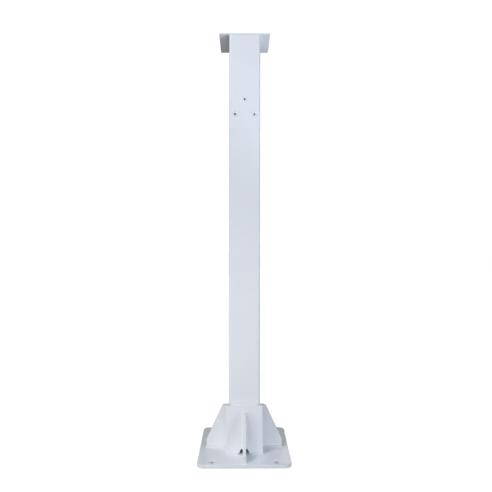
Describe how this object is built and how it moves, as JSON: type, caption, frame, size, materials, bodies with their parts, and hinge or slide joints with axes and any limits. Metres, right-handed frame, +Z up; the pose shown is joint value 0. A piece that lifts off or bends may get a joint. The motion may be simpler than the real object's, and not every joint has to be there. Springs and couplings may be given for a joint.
{
  "type": "gate post",
  "caption": "Floor-mounted square steel gate post with a gusseted base plate, a cable arch at the foot and a wide head plate welded on top.",
  "frame": {"origin": "middle of the base plate's underside, on the floor", "axes": "+Z up; the front, with the cable arch and the three threaded inserts, faces -Y; +X to the right of someone looking at the front"},
  "size_m": [0.29, 0.29, 1.355],
  "materials": {
    "base_plate": "semi-gloss white powder coat with a faint blue tint",
    "post_tube": "semi-gloss white powder coat with a faint blue tint",
    "front_doubler": "semi-gloss white powder coat with a faint blue tint",
    "gusset_right": "semi-gloss white powder coat with a faint blue tint",
    "weld_foot_right": "semi-gloss white powder coat with a faint blue tint",
    "weld_seam_right": "semi-gloss white powder coat with a faint blue tint",
    "gusset_back": "semi-gloss white powder coat with a faint blue tint",
    "weld_foot_back": "semi-gloss white powder coat with a faint blue tint",
    "weld_seam_back": "semi-gloss white powder coat with a faint blue tint",
    "gusset_left": "semi-gloss white powder coat with a faint blue tint",
    "weld_foot_left": "semi-gloss white powder coat with a faint blue tint",
    "weld_seam_left": "semi-gloss white powder coat with a faint blue tint",
    "gusset_front": "semi-gloss white powder coat with a faint blue tint",
    "weld_foot_front": "semi-gloss white powder coat with a faint blue tint",
    "weld_seam_front": "semi-gloss white powder coat with a faint blue tint",
    "weld_post_foot": "semi-gloss white powder coat with a faint blue tint",
    "weld_doubler_top": "semi-gloss white powder coat with a faint blue tint",
    "weld_doubler_left": "semi-gloss white powder coat with a faint blue tint",
    "weld_doubler_right": "semi-gloss white powder coat with a faint blue tint",
    "head_plate": "semi-gloss white powder coat with a faint blue tint",
    "weld_head_left": "semi-gloss white powder coat with a faint blue tint",
    "weld_head_right": "semi-gloss white powder coat with a faint blue tint",
    "weld_head_back": "semi-gloss white powder coat with a faint blue tint",
    "insert_top": "zinc plated",
    "insert_left": "zinc plated",
    "insert_right": "zinc plated"
  },
  "bodies": {
    "root": {"base_plate": "base_plate", "post_tube": "post_tube", "front_doubler": "front_doubler", "gusset_right": "gusset_right", "weld_foot_right": "weld_foot_right", "weld_seam_right": "weld_seam_right", "gusset_back": "gusset_back", "weld_foot_back": "weld_foot_back", "weld_seam_back": "weld_seam_back", "gusset_left": "gusset_left", "weld_foot_left": "weld_foot_left", "weld_seam_left": "weld_seam_left", "gusset_front": "gusset_front", "weld_foot_front": "weld_foot_front", "weld_seam_front": "weld_seam_front", "weld_post_foot": "weld_post_foot", "weld_doubler_top": "weld_doubler_top", "weld_doubler_left": "weld_doubler_left", "weld_doubler_right": "weld_doubler_right", "head_plate": "head_plate", "weld_head_left": "weld_head_left", "weld_head_right": "weld_head_right", "weld_head_back": "weld_head_back", "insert_top": "insert_top", "insert_left": "insert_left", "insert_right": "insert_right"}
  },
  "joints": []
}
